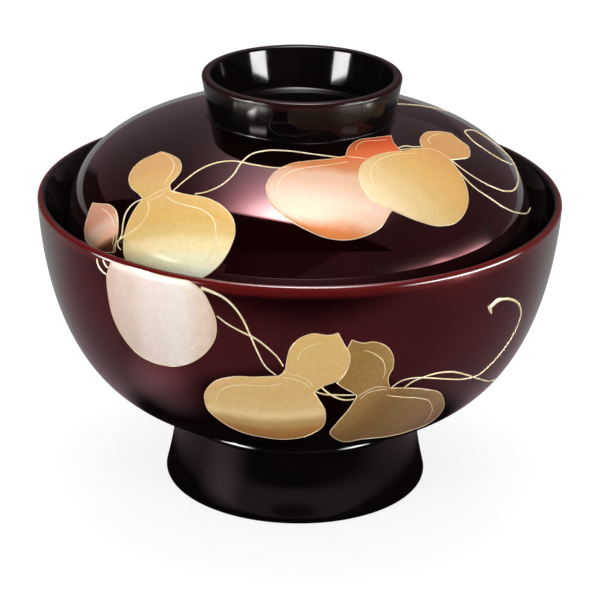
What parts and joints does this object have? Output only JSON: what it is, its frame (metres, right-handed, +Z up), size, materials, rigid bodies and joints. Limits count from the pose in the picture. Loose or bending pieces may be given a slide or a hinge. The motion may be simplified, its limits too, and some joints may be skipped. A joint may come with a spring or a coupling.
{
  "type": "lidded soup bowl",
  "caption": "Round lacquered soup bowl on a tall flared foot, with a domed lid that sits inside the mouth and lifts off by its ring-shaped grip.",
  "frame": {"origin": "centre of the foot, on the surface that the bowl stands on", "axes": "+Z up along the bowl's axis of symmetry, +Y away from the picture's viewer, +X to the viewer's right"},
  "size_m": [0.127, 0.127, 0.1043],
  "materials": {
    "core_wood": "bare turned wood, sealed under the lacquer",
    "tame_lacquer": "polished clear brown lacquer over red",
    "black_lacquer": "polished black lacquer"
  },
  "bodies": {
    "bowl": {"bowl_core": "core_wood", "bowl_outer_lacquer": "tame_lacquer", "bowl_inner_lacquer": "black_lacquer", "foot_ring": "black_lacquer"},
    "lid": {"lid_core": "core_wood", "lid_outer_lacquer": "tame_lacquer", "lid_inner_lacquer": "black_lacquer", "grip_ring": "black_lacquer"}
  },
  "joints": [
    {"name": "lid_lift", "type": "slide", "parent": "bowl", "child": "lid", "axis": [0, 0, 1], "range_m": [0, 0.06]}
  ]
}
